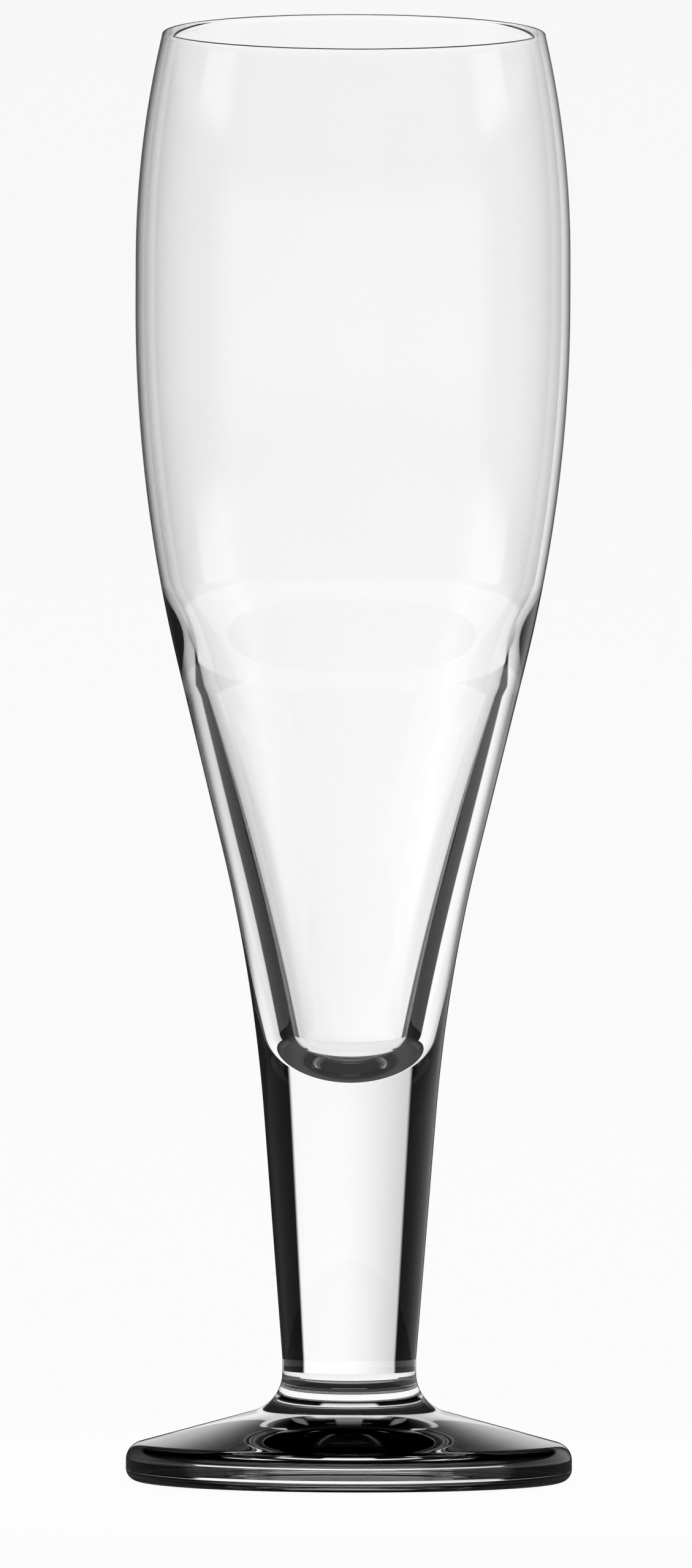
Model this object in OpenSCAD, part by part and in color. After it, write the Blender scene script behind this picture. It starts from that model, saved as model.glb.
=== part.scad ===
/* [Bowl] */
// Height of the bowl, from its joint with the stem up to the rim
bowl_h = 175; // [160:0.5:195]
// Outside diameter at the rim
rim_d = 62.2; // [58:0.2:66]
// Outside diameter at the belly, the widest place of the bowl
belly_d = 70.4; // [68:0.2:78]
// Height of the belly above the bowl's joint
belly_h = 135; // [122:0.5:145]
// Height of the straight band round the belly
belly_band = 7; // [2:0.5:16]
// Part of the lower outline's curve that belongs to the hollow sweep above the stem
sweep_share = 0.52; // [0.4:0.01:0.65]
// Roundness of the lower outline: at 1 its two arcs meet, below it a straight cone lies between them
round_share = 0.948; // [0.8:0.002:0.99]

/* [Bowl wall] */
// Wall thickness at the rim
rim_wall = 1; // [0.8:0.05:1.4]
// Wall thickness at the belly
belly_wall = 1.2; // [0.9:0.05:1.6]
// Thickness of the blown wall where it reaches the inside shoulder
blown_wall = 1.35; // [1.1:0.05:1.8]
// Thickness of the pressed wall just below the inside shoulder
shoulder_wall = 3.25; // [2.6:0.05:4]
// Height above the bowl's joint at which the inside shoulder ends
shoulder_h = 69; // [62:0.5:76]
// Length over which the inside shoulder turns from the blown to the pressed wall
shoulder_rise = 17; // [12:0.5:22]
// Radius of the round bottom of the cavity
well_r = 9.5; // [8:0.1:10]
// Lean of the cavity's wall where it meets the round bottom, in degrees
well_lean = 11; // [8:0.5:14]
// Thickness of the glass between the cavity and the bowl's joint
bowl_floor = 5.5; // [4:0.1:8]

/* [Stem] */
// Length of the stem between its two joints
stem_len = 39.5; // [30:0.5:60]
// Diameter of the stem at the bowl's joint
stem_top_d = 27.8; // [26:0.1:30]
// Diameter of the stem at the foot's joint
stem_foot_d = 21.6; // [18:0.1:24]

/* [Foot] */
// Diameter of the foot
foot_d = 72; // [64:0.5:82]
// Height at which the foot's sloping top would meet its upright edge
edge_h = 5.6; // [5:0.1:7]
// Height at which the foot's sloping top would meet its post
collar_h = 12.5; // [10.5:0.1:16]
// Radius of the flare between the post and the sloping top
flare_r = 6.5; // [4:0.1:9]
// Length of straight post between the flare and the stem's joint
post_len = 2.2; // [1:0.1:6]
// Radius of the edge's upper corner
edge_top_r = 2.9; // [1.5:0.1:3.2]
// Radius of the edge's lower corner
edge_base_r = 2; // [1:0.1:2.2]
// Diameter of the shallow hollow in the underside
hollow_d = 54; // [42:0.5:58]
// Depth of that hollow at its middle
hollow_depth = 0.8; // [0.3:0.05:1.6]

/* [Hidden] */
glass_tint = [0.88, 0.92, 0.93, 0.5];

// Counts of straight steps along an arc and round the axis
arc_steps = 14;
corner_steps = 8;
turn_steps = 180;

// Foot: the sloping top, the flare and the height of the joint
foot_r = foot_d / 2;
post_r = stem_foot_d / 2;
top_lean = atan((collar_h - edge_h) / (foot_r - post_r));
flare_z = collar_h + flare_r * tan((90 - top_lean) / 2);
corner_z = edge_h - edge_top_r * tan((90 - top_lean) / 2);
foot_joint_z = flare_z + post_len;
hollow_r = hollow_d / 2;
hollow_arc_r = (hollow_r * hollow_r + hollow_depth * hollow_depth) / (2 * hollow_depth);

// Stem: its lean and the height of the bowl's joint
stem_top_r = stem_top_d / 2;
stem_lean = atan((stem_top_r - post_r) / stem_len);
bowl_joint_z = foot_joint_z + stem_len;

// Bowl: heights above the table
rim_z = bowl_joint_z + bowl_h;
lip_r = rim_wall / 2;
lip_z = rim_z - lip_r;
belly_low_z = bowl_joint_z + belly_h - belly_band / 2;
belly_high_z = belly_low_z + belly_band;
shoulder_low_z = bowl_joint_z + shoulder_h;
shoulder_high_z = shoulder_low_z + shoulder_rise;

// Bowl: radii
rim_r = rim_d / 2;
belly_r = belly_d / 2;

// Lower outline: an S of two arcs, tangent to the belly and to the stem, with a straight cone between them
belly_share = 1 - sweep_share;
s_in = belly_r - stem_top_r;
s_fall = belly_low_z - bowl_joint_z;
s_square = -2 * belly_share * sweep_share * (1 - cos(stem_lean));
s_linear = 2 * (s_fall * sweep_share * sin(stem_lean) - s_in * (sweep_share * cos(stem_lean) + belly_share));
s_constant = s_in * s_in + s_fall * s_fall;
s_root = sqrt(s_linear * s_linear - 4 * s_square * s_constant);
s_radii = round_share * 2 * s_constant / (s_root - s_linear);
belly_arc_r = belly_share * s_radii;
sweep_arc_r = sweep_share * s_radii;
belly_arc_at = [belly_r - belly_arc_r, belly_low_z];
sweep_arc_at = [stem_top_r + sweep_arc_r * cos(stem_lean), bowl_joint_z - sweep_arc_r * sin(stem_lean)];
s_span = sweep_arc_at - belly_arc_at;
cone_lean = -atan2(s_span.y, s_span.x) - acos(s_radii / norm(s_span));
cone_high = belly_arc_at + belly_arc_r * [cos(cone_lean), -sin(cone_lean)];
cone_low = sweep_arc_at - sweep_arc_r * [cos(cone_lean), -sin(cone_lean)];

// Cavity: where its round bottom and its lower wall meet
well_at = [0, bowl_joint_z + bowl_floor + well_r];
well_top = well_at + well_r * [cos(well_lean), -sin(well_lean)];

// Points of an arc round a centre, from one angle to another
function arc(centre, r, from, to, steps) =
    [for (i = [0:steps]) centre + r * [cos(from + (to - from) * i / steps), sin(from + (to - from) * i / steps)]];

// Radius of the arc that starts upright, rises by one length and moves in by another
function inward_arc_r(rise, inset) = (rise * rise + inset * inset) / (2 * inset);

// Points of the wall above the belly band, from the belly up to the lip
function upper_wall(low_r, high_r) =
    let (r = inward_arc_r(lip_z - belly_high_z, low_r - high_r))
    arc([low_r - r, belly_high_z], r, 0, asin((lip_z - belly_high_z) / r), arc_steps);

// Outside radius at a height between the joint and the belly band
function outside_r(z) =
    z > cone_high.y ? belly_arc_at.x + sqrt(belly_arc_r * belly_arc_r - (z - belly_low_z) * (z - belly_low_z))
    : z > cone_low.y ? cone_low.x + (z - cone_low.y) * tan(cone_lean)
    : sweep_arc_at.x - sqrt(sweep_arc_r * sweep_arc_r - (z - sweep_arc_at.y) * (z - sweep_arc_at.y));

// Smooth step from 0 to 1
function ease(share) = share * share * (3 - 2 * share);

// Points of the inside from the belly down to the shoulder: the blown wall thickens slowly
function blown_inside() =
    [for (i = [0:arc_steps])
        let (share = i / arc_steps)
        let (z = belly_low_z + (shoulder_high_z - belly_low_z) * share)
        [outside_r(z) - belly_wall - (blown_wall - belly_wall) * share, z]];

// Points of the inside shoulder, where the blown wall turns into the thick pressed one
function shoulder_inside() =
    [for (i = [1:corner_steps])
        let (share = i / corner_steps)
        let (z = shoulder_high_z - shoulder_rise * share)
        [outside_r(z) - blown_wall - (shoulder_wall - blown_wall) * ease(share), z]];

// Points of the pressed inside below the shoulder: a curve that runs into the round bottom
function pressed_inside() =
    let (high = [outside_r(shoulder_low_z) - shoulder_wall, shoulder_low_z])
    let (half_rise = (high.y - well_top.y) / 2)
    let (middle = well_top + half_rise * [tan(well_lean), 1])
    [for (i = [1:arc_steps])
        let (share = i / arc_steps)
        (1 - share) * (1 - share) * high + 2 * share * (1 - share) * middle + share * share * well_top];

// Half section of the bowl, from the joint up the outside, over the lip and down the inside
function bowl_section() = concat(
    [[0, bowl_joint_z]],
    arc(sweep_arc_at, sweep_arc_r, 180 - stem_lean, 180 - cone_lean, arc_steps),
    arc(belly_arc_at, belly_arc_r, -cone_lean, 0, arc_steps),
    upper_wall(belly_r, rim_r),
    arc([rim_r - lip_r, lip_z], lip_r, 0, 180, corner_steps),
    reverse(upper_wall(belly_r - belly_wall, rim_r - rim_wall)),
    blown_inside(),
    shoulder_inside(),
    pressed_inside(),
    arc(well_at, well_r, -well_lean, -90, corner_steps));

// A list of points in the other order
function reverse(points) = [for (i = [len(points) - 1:-1:0]) points[i]];

// Half section of the foot, from its joint down the flare, round the edge and under the foot
function foot_section() = concat(
    [[0, foot_joint_z], [post_r, foot_joint_z]],
    arc([post_r + flare_r, flare_z], flare_r, 180, 270 - top_lean, arc_steps),
    arc([foot_r - edge_top_r, corner_z], edge_top_r, 90 - top_lean, 0, corner_steps),
    arc([foot_r - edge_base_r, edge_base_r], edge_base_r, 0, -90, corner_steps),
    arc([0, hollow_depth - hollow_arc_r], hollow_arc_r, 90 - asin(hollow_r / hollow_arc_r), 90, corner_steps));

// Bowl: thin blown wall above, thick pressed wall below, closed at the bottom by its own joint face
module bowl() {
    color(glass_tint)
        rotate_extrude($fn = turn_steps)
            polygon(bowl_section());
}

// Stem: solid tapered rod between the two joint faces
module stem() {
    color(glass_tint)
        translate([0, 0, foot_joint_z])
            cylinder(r1 = post_r, r2 = stem_top_r, h = stem_len, $fn = turn_steps);
}

// Foot: pressed disc with a sloping top, a flared post, a thick round edge and a shallow hollow underneath
module foot() {
    color(glass_tint)
        rotate_extrude($fn = turn_steps)
            polygon(foot_section());
}

bowl();
stem();
foot();
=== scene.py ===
import math

import bpy
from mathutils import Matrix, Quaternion, Vector


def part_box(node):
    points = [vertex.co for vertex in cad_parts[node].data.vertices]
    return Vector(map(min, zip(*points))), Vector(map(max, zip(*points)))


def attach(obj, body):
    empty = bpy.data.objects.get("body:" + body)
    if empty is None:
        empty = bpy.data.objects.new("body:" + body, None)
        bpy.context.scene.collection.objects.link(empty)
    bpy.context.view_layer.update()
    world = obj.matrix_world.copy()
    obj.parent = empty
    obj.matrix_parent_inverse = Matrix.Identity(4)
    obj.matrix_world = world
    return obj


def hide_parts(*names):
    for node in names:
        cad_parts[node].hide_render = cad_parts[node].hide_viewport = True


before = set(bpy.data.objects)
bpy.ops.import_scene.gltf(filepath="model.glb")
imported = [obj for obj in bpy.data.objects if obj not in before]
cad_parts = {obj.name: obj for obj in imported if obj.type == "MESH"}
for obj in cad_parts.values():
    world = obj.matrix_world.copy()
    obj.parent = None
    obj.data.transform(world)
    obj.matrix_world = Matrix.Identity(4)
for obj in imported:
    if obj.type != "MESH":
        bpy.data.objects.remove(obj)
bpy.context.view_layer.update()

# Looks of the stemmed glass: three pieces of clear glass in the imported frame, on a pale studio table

MM = 0.001
TURNS = 256


# Sizes in metres, as in the solids

class Foot:
    radius = -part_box("foot")[0].x
    joint_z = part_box("foot")[1].z
    edge_h = 5.6 * MM
    collar_h = 12.5 * MM
    flare_r = 6.5 * MM
    edge_top_r = 2.9 * MM
    edge_base_r = 2 * MM
    hollow_r = 27 * MM
    hollow_depth = 0.8 * MM


class Stem:
    foot_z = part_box("stem")[0].z
    bowl_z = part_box("stem")[1].z
    foot_r = 10.8 * MM
    bowl_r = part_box("stem")[1].x
    lean = math.atan((bowl_r - foot_r) / (bowl_z - foot_z))


class Bowl:
    joint_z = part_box("bowl")[0].z
    rim_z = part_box("bowl")[1].z
    belly_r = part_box("bowl")[1].x
    rim_r = 31.1 * MM
    belly_low_z = joint_z + 131.5 * MM
    belly_high_z = joint_z + 138.5 * MM
    sweep_share = 0.52
    round_share = 0.948
    rim_wall = 1 * MM
    belly_wall = 1.2 * MM
    blown_wall = 1.35 * MM
    shoulder_wall = 3.25 * MM
    shoulder_low_z = joint_z + 69 * MM
    shoulder_high_z = joint_z + 86 * MM
    well_r = 9.5 * MM
    well_lean = 11
    floor = 5.5 * MM


# Outlines, as lists of (radius, height) points

def steps(count, first=0):
    """Shares from first/count to 1 in even steps."""
    return [i / count for i in range(first, count + 1)]


def between(start, end, count):
    """Points strictly between two points."""
    return [tuple(a + (b - a) * share for a, b in zip(start, end)) for share in steps(count, 1)[:-1]]


def arc(centre, radius, start, end, count):
    """Points of an arc round a centre, between two angles in degrees."""
    turns = [math.radians(start + (end - start) * share) for share in steps(count)]
    return [(centre[0] + radius * math.cos(a), centre[1] + radius * math.sin(a)) for a in turns]


def ease(share):
    """Smooth step from 0 to 1."""
    return share * share * (3 - 2 * share)


def bowl_s_curve():
    """Centres and radii of the two arcs of the lower outline, and the lean of the cone between them."""
    belly_share, sweep_share = 1 - Bowl.sweep_share, Bowl.sweep_share
    inward = Bowl.belly_r - Stem.bowl_r
    fall = Bowl.belly_low_z - Bowl.joint_z
    square = -2 * belly_share * sweep_share * (1 - math.cos(Stem.lean))
    linear = 2 * (fall * sweep_share * math.sin(Stem.lean)
                  - inward * (sweep_share * math.cos(Stem.lean) + belly_share))
    constant = inward ** 2 + fall ** 2
    radii = Bowl.round_share * 2 * constant / (math.sqrt(linear ** 2 - 4 * square * constant) - linear)
    belly_r, sweep_r = belly_share * radii, sweep_share * radii
    belly_at = (Bowl.belly_r - belly_r, Bowl.belly_low_z)
    sweep_at = (Stem.bowl_r + sweep_r * math.cos(Stem.lean), Bowl.joint_z - sweep_r * math.sin(Stem.lean))
    across, up = sweep_at[0] - belly_at[0], sweep_at[1] - belly_at[1]
    lean = -math.atan2(up, across) - math.acos(radii / math.hypot(across, up))
    return belly_at, belly_r, sweep_at, sweep_r, lean


BELLY_AT, BELLY_ARC_R, SWEEP_AT, SWEEP_ARC_R, CONE_LEAN = bowl_s_curve()


def bowl_outside_r(z):
    """Outside radius of the bowl between its joint and its belly."""
    cone_high_z = BELLY_AT[1] - BELLY_ARC_R * math.sin(CONE_LEAN)
    cone_low_z = SWEEP_AT[1] + SWEEP_ARC_R * math.sin(CONE_LEAN)
    if z > cone_high_z:
        return BELLY_AT[0] + math.sqrt(BELLY_ARC_R ** 2 - (z - BELLY_AT[1]) ** 2)
    if z < cone_low_z:
        return SWEEP_AT[0] - math.sqrt(SWEEP_ARC_R ** 2 - (z - SWEEP_AT[1]) ** 2)
    return SWEEP_AT[0] - SWEEP_ARC_R * math.cos(CONE_LEAN) + (z - cone_low_z) * math.tan(CONE_LEAN)


def upper_wall(low_r, high_r):
    """Points of the wall above the belly band, up to the lip."""
    rise = Bowl.rim_z - Bowl.rim_wall / 2 - Bowl.belly_high_z
    r = (rise ** 2 + (low_r - high_r) ** 2) / (2 * (low_r - high_r))
    return arc((low_r - r, Bowl.belly_high_z), r, 0, math.degrees(math.asin(rise / r)), 24)


def bowl_outside():
    """Points from the joint up the outside and over the lip."""
    lean = math.degrees(CONE_LEAN)
    lip_r = Bowl.rim_wall / 2
    sweep = arc(SWEEP_AT, SWEEP_ARC_R, 180 - math.degrees(Stem.lean), 180 - lean, 30)
    belly = arc(BELLY_AT, BELLY_ARC_R, -lean, 0, 36)
    lip = arc((Bowl.rim_r - lip_r, Bowl.rim_z - lip_r), lip_r, 0, 180, 12)
    return ([(Stem.bowl_r, Bowl.joint_z)] + sweep[1:] + between(sweep[-1], belly[0], 20) + belly
            + upper_wall(Bowl.belly_r, Bowl.rim_r) + lip[1:-1])


def bowl_inside():
    """Points from the lip down the thin blown wall, the shoulder and the pressed wall to the round bottom."""
    points = upper_wall(Bowl.belly_r - Bowl.belly_wall, Bowl.rim_r - Bowl.rim_wall)[::-1]
    for share in steps(36):
        z = Bowl.belly_low_z + (Bowl.shoulder_high_z - Bowl.belly_low_z) * share
        wall = Bowl.belly_wall + (Bowl.blown_wall - Bowl.belly_wall) * share
        points.append((bowl_outside_r(z) - wall, z))
    for share in steps(32, 1):
        z = Bowl.shoulder_high_z + (Bowl.shoulder_low_z - Bowl.shoulder_high_z) * share
        wall = Bowl.blown_wall + (Bowl.shoulder_wall - Bowl.blown_wall) * ease(share)
        points.append((bowl_outside_r(z) - wall, z))
    high = points[-1]
    well = arc((0, Bowl.joint_z + Bowl.floor + Bowl.well_r), Bowl.well_r, -Bowl.well_lean, -90, 24)
    middle_z = (high[1] + well[0][1]) / 2
    middle = (well[0][0] + (middle_z - well[0][1]) * math.tan(math.radians(Bowl.well_lean)), middle_z)
    for share in steps(48, 1)[:-1]:
        a, b, c = (1 - share) ** 2, 2 * share * (1 - share), share ** 2
        points.append(tuple(a * h + b * m + c * w for h, m, w in zip(high, middle, well[0])))
    return points + well[:-1] + [(0, well[-1][1])]


def stem_section():
    """Half section of the stem, from the foot up to the bowl."""
    low, high = (Stem.foot_r, Stem.foot_z), (Stem.bowl_r, Stem.bowl_z)
    return [(0, Stem.foot_z), low] + between(low, high, 40) + [high, (0, Stem.bowl_z)]


def foot_section():
    """Half section of the foot: from under the foot up round the edge, the sloping top and the flare."""
    top_lean = math.degrees(math.atan((Foot.collar_h - Foot.edge_h) / (Foot.radius - Stem.foot_r)))
    reach = math.tan(math.radians((90 - top_lean) / 2))
    flare_z = Foot.collar_h + Foot.flare_r * reach
    corner_z = Foot.edge_h - Foot.edge_top_r * reach
    hollow_arc_r = (Foot.hollow_r ** 2 + Foot.hollow_depth ** 2) / (2 * Foot.hollow_depth)
    spread = math.degrees(math.asin(Foot.hollow_r / hollow_arc_r))
    hollow = arc((0, Foot.hollow_depth - hollow_arc_r), hollow_arc_r, 90, 90 - spread, 30)
    low_edge = arc((Foot.radius - Foot.edge_base_r, Foot.edge_base_r), Foot.edge_base_r, -90, 0, 16)
    high_edge = arc((Foot.radius - Foot.edge_top_r, corner_z), Foot.edge_top_r, 0, 90 - top_lean, 20)
    flare = arc((Stem.foot_r + Foot.flare_r, flare_z), Foot.flare_r, 270 - top_lean, 180, 30)
    return ([(0, Foot.hollow_depth)] + hollow[1:] + low_edge + high_edge
            + between(high_edge[-1], flare[0], 20) + flare
            + [(Stem.foot_r, Foot.joint_z), (0, Foot.joint_z)])


# Pieces

def revolve(name, section, joints_z, painted_shade_values):
    """A closed piece turned round the axis. Faces on a joint plane get the second material slot.

    The painted edge shade, one value for each point of the section, says how much a grazing sight line
    darkens the base colour.
    """
    verts, rings, thick = [], [], []
    for (r, z), value in zip(section, painted_shade_values):
        count = TURNS if r > 0 else 1
        turns = [2 * math.pi * k / count for k in range(count)]
        rings.append(range(len(verts), len(verts) + count))
        verts += [(r * math.cos(a), r * math.sin(a), z) for a in turns]
        thick += [value] * count
    faces, seams = [], []
    for low, high, (_, z), (_, next_z) in zip(rings, rings[1:], section, section[1:]):
        seam = z == next_z and z in joints_z
        for k in range(TURNS):
            n = (k + 1) % TURNS
            if len(low) == 1:
                faces.append((high[n], high[k], low[0]))
            elif len(high) == 1:
                faces.append((low[k], low[n], high[0]))
            else:
                faces.append((low[k], low[n], high[n], high[k]))
            seams.append(seam)
    mesh = bpy.data.meshes.new(name)
    mesh.from_pydata(verts, [], faces)
    mesh.polygons.foreach_set("use_smooth", [not seam for seam in seams])
    mesh.polygons.foreach_set("material_index", [int(seam) for seam in seams])
    # Painted shade: each point's value, read by the glass to darken its base colour at grazing sight lines
    mesh.attributes.new("thick", "FLOAT", "POINT").data.foreach_set("value", thick)
    mesh.update()
    mesh.set_sharp_from_angle(angle=math.radians(50))
    piece = bpy.data.objects.new(name, mesh)
    bpy.context.collection.objects.link(piece)
    return piece


# Node helpers

def add(tree, kind, **properties):
    """A node of that kind, with some of its properties set."""
    node = tree.nodes.new(kind)
    for key, value in properties.items():
        setattr(node, key, value)
    return node


def feed(tree, socket, value):
    """Sets a socket to a number or links another socket to it."""
    if isinstance(value, (int, float)):
        socket.default_value = value
    else:
        tree.links.new(value, socket)


def math_node(tree, operation, a, b=0.0):
    """The result of a sum on one or two numbers or sockets."""
    node = add(tree, "ShaderNodeMath", operation=operation)
    feed(tree, node.inputs[0], a)
    feed(tree, node.inputs[1], b)
    return node.outputs[0]


def times(tree, first, *others):
    """All values multiplied."""
    for other in others:
        first = math_node(tree, "MULTIPLY", first, other)
    return first


def most(tree, first, *others):
    """The largest of the values."""
    for other in others:
        first = math_node(tree, "MAXIMUM", first, other)
    return first


def ramp(tree, value, low, high, start=0.0, end=1.0):
    """Smooth passage from start to end while the value goes from low to high."""
    node = add(tree, "ShaderNodeMapRange", interpolation_type="SMOOTHSTEP")
    for socket, number in zip(node.inputs, (value, low, high, start, end)):
        feed(tree, socket, number)
    return node.outputs[0]


def band(tree, value, low, high, soft):
    """1 between low and high, with soft edges of that width."""
    return times(tree, ramp(tree, value, low - soft / 2, low + soft / 2),
                 ramp(tree, value, high - soft / 2, high + soft / 2, 1, 0))


# Glass

def glass(name, grain, waviness):
    """Clear fire-polished glass, a little wavy. Its base colour holds painted shade: it turns dark as the
    sight line grazes the surface, more where the point's stored value is larger.
    """
    material = bpy.data.materials.new(name)
    material.use_nodes = True
    tree = material.node_tree
    shader = tree.nodes["Principled BSDF"]
    shader.inputs["IOR"].default_value = 1.5
    shader.inputs["Transmission Weight"].default_value = 1

    place = add(tree, "ShaderNodeTexCoord")
    stretch = add(tree, "ShaderNodeMapping")
    stretch.inputs["Scale"].default_value = grain
    tree.links.new(place.outputs["Object"], stretch.inputs["Vector"])
    noise = add(tree, "ShaderNodeTexNoise")
    noise.inputs["Scale"].default_value = 1
    noise.inputs["Detail"].default_value = 2
    tree.links.new(stretch.outputs["Vector"], noise.inputs["Vector"])

    bump = add(tree, "ShaderNodeBump")
    bump.inputs["Strength"].default_value = 1
    bump.inputs["Distance"].default_value = waviness
    tree.links.new(noise.outputs["Fac"], bump.inputs["Height"])
    tree.links.new(bump.outputs["Normal"], shader.inputs["Normal"])
    tree.links.new(ramp(tree, noise.outputs["Fac"], 0.4, 0.8, 0, 0.006), shader.inputs["Roughness"])

    # Painted shade: facing times each point's stored value darkens the base colour to near black at grazing
    # sight lines
    grazing = add(tree, "ShaderNodeLayerWeight")
    edge = add(tree, "ShaderNodeValToRGB")
    edge.color_ramp.interpolation = "EASE"
    edge.color_ramp.elements[0].position = 0.6
    edge.color_ramp.elements[0].color = (1, 1, 1, 1)
    edge.color_ramp.elements[1].position = 0.78
    edge.color_ramp.elements[1].color = (0.06, 0.06, 0.06, 1)
    thick = add(tree, "ShaderNodeAttribute", attribute_name="thick")
    tree.links.new(times(tree, grazing.outputs["Facing"], thick.outputs["Fac"]), edge.inputs["Fac"])
    tree.links.new(edge.outputs["Color"], shader.inputs["Base Color"])
    return material


def fused_seam():
    """The inside of a hot fused joint: the glass runs through, so nothing shows."""
    material = bpy.data.materials.new("fused_seam")
    material.use_nodes = True
    tree = material.node_tree
    tree.nodes.remove(tree.nodes["Principled BSDF"])
    clear = add(tree, "ShaderNodeBsdfTransparent")
    tree.links.new(clear.outputs["BSDF"], tree.nodes["Material Output"].inputs["Surface"])
    return material


# Painted edge shade of the surfaces, how much a grazing sight line darkens their base colour: the stem and
# the pressed bowl have 1, clear surfaces have 0

FOOT_EDGE_PAINTED_SHADE = 2.3
BLOWN_LESS_PAINTED_SHADE = 0.1
PRESSED_Z, BLOWN_Z = 0.13, 0.146


def bowl_outside_painted_shade(z):
    """Painted edge shade of the bowl's outside, which falls a little from the pressed to the blown wall."""
    return 1 - BLOWN_LESS_PAINTED_SHADE * ease(min(max((z - PRESSED_Z) / (BLOWN_Z - PRESSED_Z), 0), 1))


def make_glass():
    """The foot, the stem and the bowl, each with its own glass and with clear seams where they are fused."""
    seam = fused_seam()
    outside, inside = [(0, Bowl.joint_z)] + bowl_outside(), bowl_inside()
    stem, foot = stem_section(), foot_section()
    # Painted edge shade for each point: strongest on the foot's edge, 1 on the stem, nearly 1 on the bowl's
    # outside, 0 elsewhere
    foot_painted_shade = [FOOT_EDGE_PAINTED_SHADE if z < Foot.edge_h else 0 for _, z in foot]
    stem_painted_shade = [1] * len(stem)
    bowl_painted_shade = [bowl_outside_painted_shade(z) for _, z in outside] + [0] * len(inside)
    for node, section, joints_z, painted_shade_values, grain, waviness in (
        ("foot", foot, [Foot.joint_z], foot_painted_shade, (70, 70, 70), 0.004 * MM),
        ("stem", stem, [Stem.foot_z, Stem.bowl_z], stem_painted_shade, (90, 90, 20), 0.004 * MM),
        ("bowl", outside + inside, [Bowl.joint_z], bowl_painted_shade, (60, 60, 14), 0.008 * MM),
    ):
        piece = revolve(node + "_clear", section, joints_z, painted_shade_values)
        piece.data.materials.append(glass(node + "_glass", grain, waviness))
        piece.data.materials.append(seam)
        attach(piece, "root")
        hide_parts(node)


# Studio. Directions are in degrees: turn is 0 behind the glass and positive to the right, side is its size
# without the sign, and rise is the height above the horizon.

WHITE = 0.97
HIGH_WHITE = 0.925
SHEET_SIDE = 31.3
TABLE_R = 0.2
TABLE_LIT = 0.035
TABLE_COLOUR = 0.9
PAINTED_SHADOW_UNDER_FOOT = 0.2
DIM_TABLE = 0.02
DIM_ROOM = 0.008
DEGREES = 180 / math.pi


def through_glass(tree, turn, side, rise):
    """What shows through the glass: a bright sheet behind it, dark cards beside the sheet and an open room.

    Returns the sheet alone and all of it together.
    """
    fall = times(tree, ramp(tree, rise, 14, 30, 1, 0), ramp(tree, rise, -25.5, -22.5))
    shade = times(tree, ramp(tree, turn, -40, 6, 0.64, 1.02), ramp(tree, rise, -1, 5, 1.085, 1.01))
    sheet = times(tree, band(tree, side, -90, SHEET_SIDE, 3), fall, shade)
    window = times(tree, band(tree, side, 75, 105, 4), band(tree, rise, -16, 6, 3))
    front = times(tree, ramp(tree, side, 103, 107), band(tree, rise, -24, 8, 3))
    floor = times(tree, ramp(tree, rise, -22.5, -20.5, 1, 0), ramp(tree, side, 34, 37))
    ceiling = band(tree, rise, 56, 66, 4)
    return times(tree, sheet, WHITE), times(tree, most(tree, sheet, window, front, floor, ceiling), WHITE)


def mirrored(tree, turn, side, rise, inside):
    """What the glass mirrors: the sheet, a soft panel on each side, a dim room in front and light above.

    Rays that were inside the glass (inside is 1) see less of the panels, and they alone see the light above.
    """
    sheet = times(tree, band(tree, side, -90, 8.5, 2), ramp(tree, rise, 14, 30, 1, 0), ramp(tree, rise, 1, 6))
    level = times(tree, band(tree, rise, -12, 18, 4), ramp(tree, side, 85, 115, 1, 0),
                  ramp(tree, inside, 0, 1, 1, 0.2))
    left = times(tree, ramp(tree, turn, -55, -10, 0.33, 0.04), ramp(tree, turn, -10, -6, 1, 0),
                 ramp(tree, rise, -4, 0, 0.3, 1), level)
    right = times(tree, ramp(tree, turn, 8, 24, 0, 0.5), ramp(tree, rise, -8, -3, 0.25, 1), level)
    room = times(tree, ramp(tree, side, 85, 115, 0, 0.5), ramp(tree, rise, 6, 14, 1, 0))
    above = times(tree, ramp(tree, side, 33, 39), band(tree, rise, 13, 30, 4), inside,
                  ramp(tree, side, 95, 115, 0.8, 0.12))
    return most(tree, sheet, left, right, room, above)


def by_ray(tree, plain, mirror, through):
    """What a ray finds: straight from the camera, once mirrored in the glass, or only passed through it."""
    path = add(tree, "ShaderNodeLightPath").outputs
    direct = path["Is Camera Ray"]
    bounced = math_node(tree, "MINIMUM", path["Glossy Depth"], 1)
    passed = math_node(tree, "SUBTRACT", 1, most(tree, direct, bounced))
    return most(tree, times(tree, direct, plain), times(tree, bounced, mirror), times(tree, passed, through))


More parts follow.
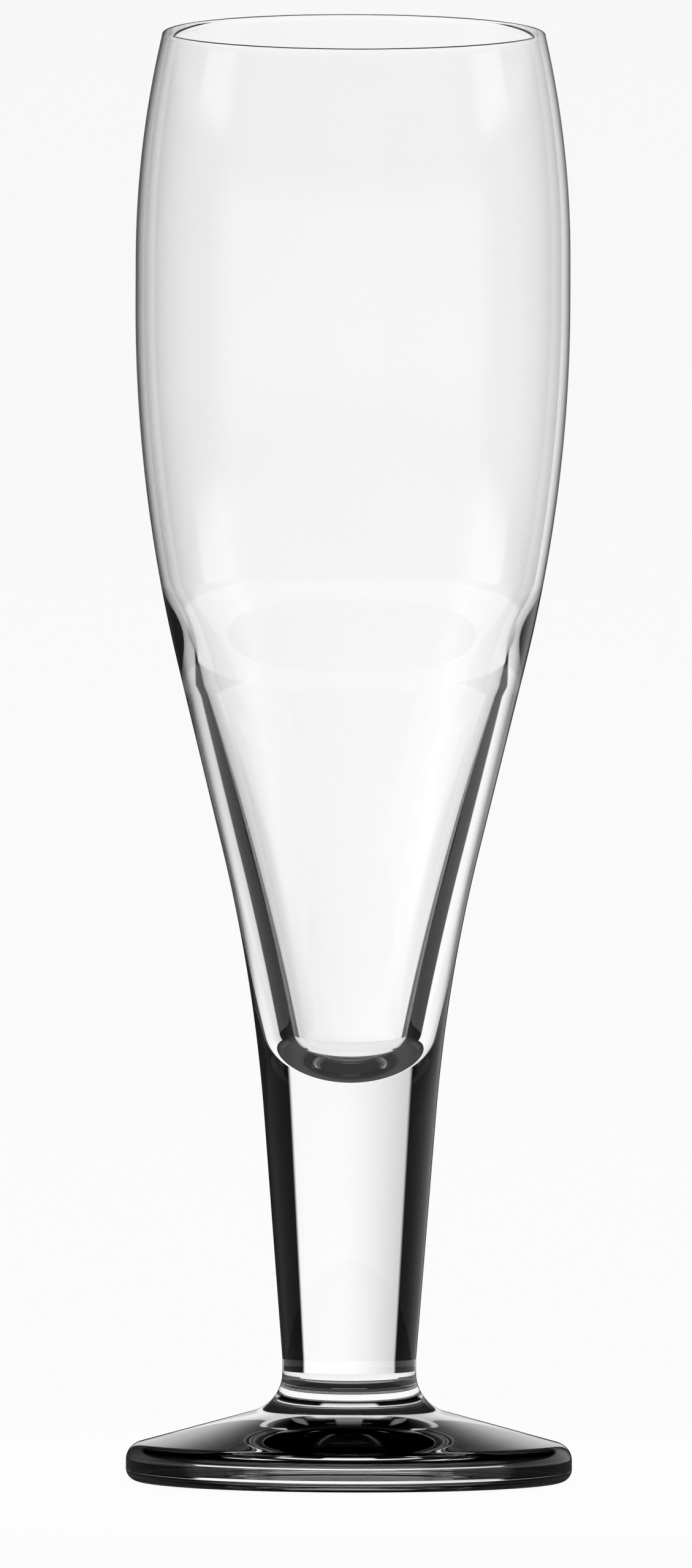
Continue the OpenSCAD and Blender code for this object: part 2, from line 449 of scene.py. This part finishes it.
def make_world():
    """Backdrop that is white for the camera, with the studio round the glass for rays that met the glass."""
    world = bpy.data.worlds.new("studio")
    bpy.context.scene.world = world
    world.use_nodes = True
    tree = world.node_tree
    background = tree.nodes["Background"]
    background.inputs["Color"].default_value = (1, 1, 1, 1)
    place = add(tree, "ShaderNodeTexCoord")
    axes = add(tree, "ShaderNodeSeparateXYZ")
    tree.links.new(place.outputs["Generated"], axes.inputs[0])
    x, y, z = axes.outputs
    turn = math_node(tree, "MULTIPLY", math_node(tree, "ARCTAN2", x, y), DEGREES)
    side = math_node(tree, "ABSOLUTE", turn)
    rise = math_node(tree, "MULTIPLY", math_node(tree, "ARCSINE", z), DEGREES)
    path = add(tree, "ShaderNodeLightPath").outputs
    sheet, through = through_glass(tree, turn, side, rise)
    inside = math_node(tree, "MINIMUM", path["Transmission Depth"], 1)
    low = times(tree, most(tree, through, DIM_ROOM), ramp(tree, rise, -9, -6, 1, 0), inside,
                ramp(tree, side, 95, 110, 1, 0.04))
    once = ramp(tree, path["Glossy Depth"], 1, 3, 1, 0)
    few = times(tree, ramp(tree, path["Glossy Depth"], 3, 6, 1, 0), ramp(tree, rise, 8, 15, 1, 0), inside)
    mirror = most(tree, times(tree, most(tree, mirrored(tree, turn, side, rise, inside), low), once),
                  times(tree, sheet, few))
    seen = by_ray(tree, ramp(tree, rise, -4, 9, WHITE, HIGH_WHITE), mirror, through)
    direct = math_node(tree, "LESS_THAN", path["Diffuse Depth"], 0.5)
    tree.links.new(times(tree, seen, direct), background.inputs["Strength"])


def table_top():
    """Pale table: lit by the lamp round the glass, melting into the backdrop at its rim.

    Through the glass it shows pale behind the foot and far out, dark round the foot to the sides and in
    front, and a painted shadow, dim, under the foot.
    """
    material = bpy.data.materials.new("table_top")
    material.use_nodes = True
    tree = material.node_tree
    tree.nodes.remove(tree.nodes["Principled BSDF"])
    place = add(tree, "ShaderNodeTexCoord")
    axes = add(tree, "ShaderNodeSeparateXYZ")
    far = add(tree, "ShaderNodeVectorMath", operation="LENGTH")
    tree.links.new(place.outputs["Object"], axes.inputs[0])
    tree.links.new(place.outputs["Object"], far.inputs[0])
    reach = far.outputs["Value"]
    turn = math_node(tree, "MULTIPLY", math_node(tree, "ARCTAN2", axes.outputs[0], axes.outputs[1]), DEGREES)
    side = math_node(tree, "ABSOLUTE", turn)
    lit = times(tree, ramp(tree, reach, TABLE_R * 0.4, TABLE_R * 0.98, 1, 0), ramp(tree, reach, 0.034, 0.036))
    own = math_node(tree, "SUBTRACT", WHITE, times(tree, lit, TABLE_LIT))
    behind = times(tree, ramp(tree, side, 28, 30, 1, 0), ramp(tree, reach, 0.0365, 0.037))
    beside = ramp(tree, reach, 0.06, 0.07)
    # Painted shadow: under the foot the table shows dim to rays that passed through the glass, though the
    # camera sees it white
    painted_shadow_below = ramp(tree, reach, 0.036, 0.0365, PAINTED_SHADOW_UNDER_FOOT, 0)
    # Painted light: a ring of table under the front of the foot glows white for rays mirrored several times
    # in the glass
    often = ramp(tree, add(tree, "ShaderNodeLightPath").outputs["Glossy Depth"], 3, 4)
    under = times(tree, band(tree, reach, 0.02, 0.0385, 0.003), ramp(tree, side, 145, 155), often)
    through = times(tree, most(tree, behind, beside, painted_shadow_below), ramp(tree, reach, 0.05, 0.08, 1, 0.9))
    glow = add(tree, "ShaderNodeEmission")
    feed(tree, glow.inputs["Strength"], by_ray(tree, own, most(tree, under, DIM_TABLE), through))
    diffuse = add(tree, "ShaderNodeBsdfDiffuse")
    shade = add(tree, "ShaderNodeCombineColor")
    for socket in shade.inputs:
        feed(tree, socket, times(tree, lit, TABLE_COLOUR))
    tree.links.new(shade.outputs["Color"], diffuse.inputs["Color"])
    total = add(tree, "ShaderNodeAddShader")
    tree.links.new(glow.outputs[0], total.inputs[0])
    tree.links.new(diffuse.outputs[0], total.inputs[1])
    tree.links.new(total.outputs[0], tree.nodes["Material Output"].inputs["Surface"])
    return material


def make_table():
    """A round table just under the foot."""
    count = 128
    turns = [2 * math.pi * k / count for k in range(count)]
    mesh = bpy.data.meshes.new("table")
    mesh.from_pydata([(TABLE_R * math.cos(a), TABLE_R * math.sin(a), 0) for a in turns], [], [range(count)])
    mesh.materials.append(table_top())
    table = bpy.data.objects.new("table", mesh)
    table.location.z = -0.2 * MM
    bpy.context.collection.objects.link(table)


def make_light():
    """One large soft lamp overhead, which gives the glass its shadow on the table."""
    lamp = bpy.data.lights.new("softbox", "AREA")
    lamp.shape = "DISK"
    lamp.size = 1.6
    lamp.energy = 1.75
    light = bpy.data.objects.new("softbox", lamp)
    light.location = (0, 0, 2)
    light.visible_camera = light.visible_glossy = light.visible_transmission = False
    bpy.context.collection.objects.link(light)


def make_camera():
    """Long lens at the photograph's height and angle, with its slight offset and roll."""
    distance, frame_h, roll = 1.52, 0.2535, 0.2
    offset, eye_z, aim_z = -0.85 * MM, 0.085, 0.1125
    camera = bpy.data.objects.new("camera", bpy.data.cameras.new("camera"))
    camera.location = (offset, -distance, eye_z)
    aim = Vector((offset, 0, aim_z))
    look = (aim - camera.location).to_track_quat("-Z", "Y")
    camera.rotation_mode = "QUATERNION"
    camera.rotation_quaternion = look @ Quaternion((0, 0, 1), math.radians(roll))
    camera.data.sensor_width = 36
    camera.data.lens = camera.data.sensor_width * distance / frame_h
    bpy.context.collection.objects.link(camera)
    bpy.context.scene.camera = camera


make_glass()
make_world()
make_table()
make_light()
make_camera()

scene = bpy.context.scene
scene.view_settings.view_transform = "Standard"
for bounces in ("max_bounces", "glossy_bounces", "transmission_bounces", "transparent_max_bounces"):
    setattr(scene.cycles, bounces, 14)
